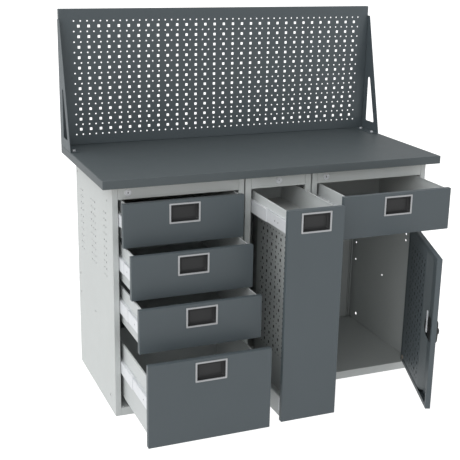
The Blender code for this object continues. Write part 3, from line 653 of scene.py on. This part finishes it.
sheet_edge, strip_bend, strip_end, strip_low, strip_high = 0.272, 0.322, 0.4115, 0.060, 0.590
sheet_start, sheet_off, sheet_low, sheet_thickness = 0.0045, 0.0099, 0.037, 0.0004
holes = hook_pattern(
    (0.062, door_height - 0.0804), (6, 12), 0.0115, (0.0570, door_height - 0.0614), (9, 13), 0.0074,
)
bm = bmesh.new()
place = lambda a, b, d: on_door(a - sheet_start, sheet_off + d, sheet_low + b)
profile = [(0.0, 0.0), (0.0, sheet_thickness)]
folded_sheet(bm, place, sheet_edge + sheet_start, door_height - 0.003, profile, holes, soft=0.2)
# The inner sheet's coat is the door's dark grey made lighter: painted light, standing in for light that the
# inside of the open door doesn't get.
sheet_coat_painted_lighter = powder_coat("dark_powder_coat_painted_lighter_on_inner_sheet", "#5E676D", "#5A6367", 0.42, 0.2)
put_together("door_perforated_sheet", bm, sheet_coat_painted_lighter, "door", ["door_inner_sheet"], 0.0004)
# A black sheet behind the perforated sheet, as in the tool panel: painted shade, so that its holes show dark.
bm = bmesh.new()
lofted(bm, lambda a, b, d: on_door(0.010 + a, 0.0065 + d, 0.045 + b), 0.252, 0.540, shade_sheet_steps)
put_together("door_sheet_painted_shade_sheet", bm, cup_and_painted_shade_black, "door")
bm = bmesh.new()
into_door = Vector(on_door(0, 1, 0)) - Vector(on_door(0, 0, 0))
for along, up in ((0.265, 0.012), (0.265, 0.542), (0.012, 0.100), (0.012, 0.460)):
    turned(bm, place(along, up, 0.0009), into_door, pan_head(0.0034, 0.0012))
put_together("door_sheet_rivets", bm, dark_coat, "door")

# The plain strip beside it slopes down to the lock's recess, and has a round notch for the lock's bar.
notch_along, notch_up, notch_radius = 0.335, 0.304, 0.045
crossing = math.sqrt(notch_radius ** 2 - (notch_along - strip_bend) ** 2)
notch = []
for step in range(17):
    turn = math.radians(90 + 180 * step / 16)
    notch.append((notch_along + notch_radius * math.cos(turn), notch_up + notch_radius * math.sin(turn)))
slope = [(sheet_edge, strip_high), (sheet_edge, 0.040), (strip_bend, 0.062), (strip_bend, notch_up - crossing)]
slope += [point for point in reversed(notch) if point[0] < strip_bend]
slope += [(strip_bend, notch_up + crossing), (strip_bend, strip_high)]
recess_low = [(strip_bend, strip_low), (strip_end, strip_low - 0.010), (strip_end, notch_up - notch_radius)]
recess_low += [point for point in reversed(notch[8:]) if point[0] > strip_bend]
recess_low += [(strip_bend, notch_up - crossing)]
recess_high = [(strip_bend, notch_up + crossing)]
recess_high += [point for point in reversed(notch[:8]) if point[0] > strip_bend]
recess_high += [(strip_end, notch_up + notch_radius), (strip_end, strip_high), (strip_bend, strip_high)]
strip_off, strip_drop = 0.0095, 0.0125
depth = lambda a: strip_off - strip_drop * min(1.0, (a - sheet_edge) / (strip_bend - sheet_edge))
# The sloping strip's coat is the door's dark grey made lighter still: painted light on the slope, brighter than
# the door's one grey shows there.
strip_coat_painted_lighter = powder_coat("dark_powder_coat_painted_lighter_on_slope", "#62696C", "#5E6568", 0.40, 0.2)
for name, outlines, coat in (
    ("door_lock_strip", (slope,), strip_coat_painted_lighter), ("door_lock_recess", (recess_low, recess_high), dark_coat),
):
    bm = bmesh.new()
    for outline in outlines:
        extrude(bm, lambda a, b, d: on_door(a, depth(a) + d, b), outline, 0.0, 0.001)
    put_together(name, bm, coat, "door", ["door_inner_sheet"], 0.0003, by_angle=True)

# Low on the hinge side a bronze bush carries the door's pivot.
bronze = satin_metal("sintered_bronze_bush", "#8A7450", 0.5, 900.0)
bm = bmesh.new()
bush = ((0.0100, 0.0), (0.0100, 0.0016), (0.0092, 0.0024), (0.0050, 0.0024), (0.0044, 0.0012))
turned(bm, on_door(0.021, 0.0106, 0.054), into_door, bush, 24)
put_together("door_pivot_bush", bm, bronze, "door")


# Swing handle, shaft and latch bar of the door
# A black moulded handle stands on a collar outside. Inside, its shaft turns a zinc-plated bar.
# A moulded base seats the lock on the leaf.

def swept(bm, place, stations, corner=0.35, steps=4):
    """A bar lofted along its length through (along, near, far, half width) stations with round corners."""
    rings = []
    for along, near, far, half in stations:
        radius = corner * min(abs(far - near) / 2, half) * 1.9
        radius = min(radius, abs(far - near) / 2 - 0.00005, half - 0.00005)
        ring = []
        sign = 1 if far > near else -1
        centres = (
            (half - radius, far - sign * radius, 0), (radius - half, far - sign * radius, 90),
            (radius - half, near + sign * radius, 180), (half - radius, near + sign * radius, 270),
        )
        for x, y, start in centres:
            for step in range(steps + 1):
                turn = math.radians(start + 90 * step / steps)
                ring.append(bm.verts.new(place(
                    along, x + radius * math.cos(turn), y + sign * radius * math.sin(turn)
                )))
        rings.append(ring)
    for lower, upper in zip(rings, rings[1:]):
        join_rings(bm, lower, upper)
    bm.faces.new(rings[0])
    bm.faces.new(rings[-1])


outside = -0.0063
lock_along, lock_up = 0.358, 0.316
black = moulded_plastic("moulded_nylon_black", "#202122", "#28292A", 0.42)
bm = bmesh.new()
out_of_door = Vector(on_door(0, -1, 0)) - Vector(on_door(0, 0, 0))
collar = ((0.0118, 0.0), (0.0118, 0.0080), (0.0108, 0.0092), (0.0090, 0.0098))
turned(bm, on_door(lock_along, outside, lock_up), out_of_door, collar, 28)
# Along the handle: where its inner and outer faces stand, and its half width.
place = lambda a, b, d: on_door(lock_along + b, outside - d, lock_up + a)
swept(bm, place, (
    (0.0320, 0.0010, 0.0120, 0.0082), (0.0305, 0.0006, 0.0160, 0.0096), (0.0240, 0.0006, 0.0186, 0.0112),
    (0.0120, 0.0006, 0.0192, 0.0119), (0.0040, 0.0006, 0.0190, 0.0119), (0.0004, 0.0008, 0.0222, 0.0118),
    (-0.0050, 0.0008, 0.0243, 0.0117), (-0.0120, 0.0008, 0.0243, 0.0114), (-0.0170, 0.0008, 0.0236, 0.0112),
    (-0.0190, 0.0010, 0.0202, 0.0108), (-0.0300, 0.0016, 0.0198, 0.0102), (-0.0440, 0.0020, 0.0192, 0.0096),
    (-0.0500, 0.0022, 0.0176, 0.0088), (-0.0522, 0.0030, 0.0150, 0.0070),
))
put_together("door_swing_handle", bm, black, "door_latch", ["door_handle"])
bm = bmesh.new()
turned(
    bm, on_door(lock_along, outside - 0.003, lock_up), -out_of_door,
    ((0.0060, 0.0), (0.0060, 0.0205), (0.0052, 0.0213)), 20,
)
put_together("door_lock_shaft", bm, black, "door_latch", bevel=0.0003, by_angle=True)
# The lock's moulded base lies on the leaf's skin, and fills the notch of the strip.
bm = bmesh.new()
base_edge = round_hole(notch_along + 0.016, notch_up, 2 * notch_radius + 0.030, 40)
base_edge = [point for point in base_edge if point[0] < strip_end - 0.001]
extrude(bm, lambda a, b, d: on_door(a, d, b), base_edge, -0.0046, -0.0032)
put_together("door_lock_base", bm, black, "door", bevel=0.0003, by_angle=True)
# The bar is 82 mm long and 3 mm thick, narrow in the middle and round at its ends, with a hole for a rod.
bar_middle, bar_reach, bar_waist, bar_flare = 0.0270, 0.0410, 0.0040, 0.0028
bar_off, bar_thickness, rod_hole = 0.0135, 0.003, round_hole(0.0, 0.060, 0.004, 12)
bar = []
for step in range(40):
    turn = 2 * math.pi * step / 40
    along = -bar_reach * math.cos(turn)
    into_end = max(0.0, abs(along) - 0.0350) / 0.0062
    half = (bar_waist + bar_flare * abs(math.cos(turn))) * math.sqrt(1 - into_end ** 2)
    tip = step % 20 == 0
    bar.append((0.0 if tip else math.copysign(half, math.sin(turn)), bar_middle + along))
bm = bmesh.new()
faces = []
for level in (0.0, bar_thickness):
    place = lambda point: bm.verts.new(on_door(lock_along + point[0], bar_off + level, lock_up + point[1]))
    faces.append([[(point, place(point)) for point in loop] for loop in (bar, rod_hole)])
for lower, upper in zip(*faces):
    join_rings(bm, [vert for _, vert in lower], [vert for _, vert in upper])
for outline, hole in faces:
    close_with_holes(bm, outline, [hole])
put_together("door_latch_bar", bm, zinc, "door_latch", ["door_cam"], 0.0005, by_angle=True)


# Cylinder locks in the top rails
# Die-cast zinc, nickel plated: a barrel and its cam, with a thin polished ring on the rail's face.
# A dark dust shutter closes the key slot.

nickel = plated_metal("nickel_plated_die_casting", "#E8EAEE", "#DADCE0", 0.4, 0.3)
lock_ring = (
    (0.0087, 0.0001), (0.0120, 0.0001), (0.0120, 0.0006), (0.0110, 0.0014), (0.0092, 0.0015), (0.0087, 0.0012),
)
ring_turns = [2 * math.pi * i / 28 for i in range(28)]
shutter = [(0.0015 * math.cos(t * math.pi / 8), 0.0038 * math.sin(t * math.pi / 8)) for t in range(16)]
for name, x in locks.items():
    dress(name + "_lock", nickel, 0.0003)
    bm = bmesh.new()
    centre = Vector((x, front_y, lock_z))
    rings = []
    for radius, height in lock_ring:
        spots = [Vector((radius * math.cos(t), -height, radius * math.sin(t))) for t in ring_turns]
        rings.append([bm.verts.new(centre + spot) for spot in spots])
    for lower, upper in zip(rings, rings[1:] + rings[:1]):
        join_rings(bm, lower, upper)
    put_together(name + "_lock_ring", bm, nickel, "bench")
    bm = bmesh.new()
    extrude(bm, lambda a, b, d: (x + a, front_y - d, lock_z + b), shutter, 0.0013, 0.0018)
    put_together(name + "_lock_shutter", bm, black, name + "_lock", bevel=0.0002, by_angle=True)


# Worktop
# A folded skin of 1.5 mm steel in dark grey over a board core.
# Its edges are press-braked to a bend of about 2.6 mm.

worktop_coat = powder_coat("hard_powder_coat_dark_grey", "#50585B", "#4E5659", 0.44, 0.22, drift=0.25)
worktop_length, worktop_depth, worktop_y, worktop_z = 1.280, 0.6055, -0.12487342, 0.8593
bm = bmesh.new()
place = lambda a, b, d: (-worktop_length / 2 + a, worktop_y + b, worktop_z - d)
folded_sheet(bm, place, worktop_length, worktop_depth, pan(0.0015, 0.029, 0.020))
put_together("worktop_skin", bm, worktop_coat, "bench", ["worktop_shell"], 0.0026)

board = bpy.data.materials.new("moisture_resistant_chipboard")
board.use_nodes = True
tree = board.node_tree
shader = tree.nodes["Principled BSDF"]
shader.inputs["Roughness"].default_value = 0.85
place = add_node(tree, "ShaderNodeTexCoord").outputs["Object"]
# Pressed wood chips about 4 mm across, some dark and some pale, with no shine.
chips = add_node(tree, "ShaderNodeTexVoronoi", {"Scale": 260.0}, {"Vector": place})
blend = add_node(
    tree, "ShaderNodeMix", {"data_type": "RGBA", 6: srgb("#B08D5E"), 7: srgb("#8A6A41")},
    {"Factor": chips.outputs["Color"]},
)
rough = add_node(
    tree, "ShaderNodeBump", {"Strength": 0.4, "Distance": 0.0003}, {"Height": chips.outputs["Distance"]},
)
tree.links.new(blend.outputs[2], shader.inputs["Base Color"])
tree.links.new(rough.outputs["Normal"], shader.inputs["Normal"])
dress("worktop_core", board, 0.0003)


# Perforated screen
# One folded steel panel in the fronts' dark grey, with 10 mm squares for hooks at a 38 mm pitch.
# Rows of 6 mm round holes, 25 mm apart, run between them for screws.

screen_width, screen_height, screen_y, screen_low = 1.276, 0.500, 0.46162658, 0.8596
holes = hook_pattern((0.072, 0.4382), (31, 11), 0.0097, (0.0545, 0.4569), (48, 12), 0.0060)
bm = bmesh.new()
place = lambda a, b, d: (-screen_width / 2 + a, screen_y + d, screen_low + b)
folded_sheet(bm, place, screen_width, screen_height, pan(steel, 0.0185), holes)
put_together("screen_sheet", bm, dark_coat, "bench", ["screen_panel"], 0.0014)


# Screen brackets and their bolts
# Bent brackets of 1.7 mm steel carry the screen's ends, and are screwed to its folds.
# Zinc-plated hexagon bolts hold them to the worktop.

def hex_bolt(bm, centre, out, across=0.0100, head=0.0040, washer=0.0065):
    """A hexagon head on a round washer, standing out of a surface."""
    turned(bm, centre, out, ((washer, 0.0), (washer, 0.0008), (washer - 0.0004, 0.0011)), 20)
    corner = across / math.sqrt(3)
    turned(bm, centre, out, (
        (corner * 0.98, 0.0009), (corner, 0.0014), (corner, 0.0009 + head * 0.85),
        (corner * 0.88, 0.0009 + head),
    ), 6)


for side, x, outward in (("left", -0.640, -1.0), ("right", 0.640, 1.0)):
    dress("screen_bracket_" + side, dark_coat, 0.0006)
    bm = bmesh.new()
    for y in (0.4386, 0.3490):
        hex_bolt(bm, (x - outward * 0.0185, y, 0.8612), (0, 0, 1))
    put_together(
        "bracket_foot_bolts_" + side, bm, zinc, "bench", bevel=0.0003, by_angle=True,
    )
    bm = bmesh.new()
    for z in (1.3015, 0.9115):
        turned(bm, (x - outward * 0.0014, 0.4702, z), (outward, 0, 0), pan_head(0.0055, 0.0013), 20)
    put_together("bracket_side_screws_" + side, bm, zinc, "bench")


# Floor, light and camera
# A plain white studio: the floor runs out of view and the object stands in soft light, mostly from the left.

floor_material = bpy.data.materials.new("lit_white_floor")
floor_material.use_nodes = True
shader = floor_material.node_tree.nodes["Principled BSDF"]
shader.inputs["Base Color"].default_value = (0.3, 0.3, 0.3, 1.0)
shader.inputs["Roughness"].default_value = 0.9
shader.inputs["Specular IOR Level"].default_value = 0.0
shader.inputs["Emission Color"].default_value = (1.0, 1.0, 1.0, 1.0)
# The floor is lit evenly from below, and shows as plain white.
tree = floor_material.node_tree
seen = add_node(tree, "ShaderNodeLightPath").outputs["Is Camera Ray"]
glow = add_node(tree, "ShaderNodeMix", {"data_type": "FLOAT", 2: 0.56, 3: 1.0}, {0: seen})
tree.links.new(glow.outputs[0], shader.inputs["Emission Strength"])
floor_mesh = bpy.data.meshes.new("floor")
far = 40
corners = [(-far, -far, 0), (far, -far, 0), (far, far, 0), (-far, far, 0)]
floor_mesh.from_pydata(corners, [], [(0, 1, 2, 3)])
floor_mesh.materials.append(floor_material)
floor = bpy.data.objects.new("floor", floor_mesh)
bpy.context.scene.collection.objects.link(floor)

# Soft light comes from wide panels: where each stands, as X, Y and Z from the object, and how bright it is.
# Seen directly, the studio is plain white.
panels = (
    ((-0.978, 0.0, 0.208), 1.01), ((-0.669, 0.0, 0.743), 1.51), ((-0.335, 0.579, 0.743), 1.97),
    ((0.335, 0.579, 0.743), 1.23), ((-0.335, -0.579, 0.743), 0.90), ((-0.692, -0.692, 0.208), 1.30),
    ((0.692, -0.692, 0.208), 1.50),
)
world = bpy.data.worlds.new("studio")
bpy.context.scene.world = world
world.use_nodes = True
tree = world.node_tree
way = add_node(tree, "ShaderNodeTexCoord").outputs["Generated"]
lit = None
for aim, power in panels:
    facing = add_node(tree, "ShaderNodeVectorMath", {"operation": "DOT_PRODUCT", 1: aim}, {0: way})
    near = add_node(tree, "ShaderNodeMath", {"operation": "MAXIMUM", 1: 0.0}, {0: facing.outputs["Value"]})
    edge = add_node(tree, "ShaderNodeMath", {"operation": "POWER", 1: 8.0}, {0: near.outputs[0]})
    glow = add_node(tree, "ShaderNodeMath", {"operation": "MULTIPLY", 1: power}, {0: edge.outputs[0]})
    if lit is not None:
        glow = add_node(tree, "ShaderNodeMath", {"operation": "ADD"}, {0: glow.outputs[0], 1: lit})
    lit = glow.outputs[0]
seen = add_node(tree, "ShaderNodeLightPath").outputs["Is Camera Ray"]
strength = add_node(tree, "ShaderNodeMix", {"data_type": "FLOAT", 3: 1.05}, {0: seen, 2: lit})
background = tree.nodes["Background"]
background.inputs["Color"].default_value = (1.0, 1.0, 1.0, 1.0)
tree.links.new(strength.outputs[0], background.inputs["Strength"])

camera_data = bpy.data.cameras.new("camera")
camera_data.sensor_width = 36.0
camera_data.lens = 74.94
camera_data.clip_start = 0.05
camera_data.clip_end = 200
camera = bpy.data.objects.new("camera", camera_data)
bpy.context.scene.collection.objects.link(camera)
right = Vector((0.92705297, -0.37452659, 0.01739589))
down = Vector((-0.09277784, -0.27411014, -0.95721257))
forward = Vector((0.36326995, 0.8857728, -0.28886239))
turn = camera.matrix_world.to_3x3()
turn.col[0] = right
turn.col[1] = -down
turn.col[2] = -forward
camera.matrix_world = turn.to_4x4()
camera.location = (-1.38977, -3.03712, 1.60411)
bpy.context.scene.camera = camera
bpy.context.scene.view_settings.view_transform = "Standard"
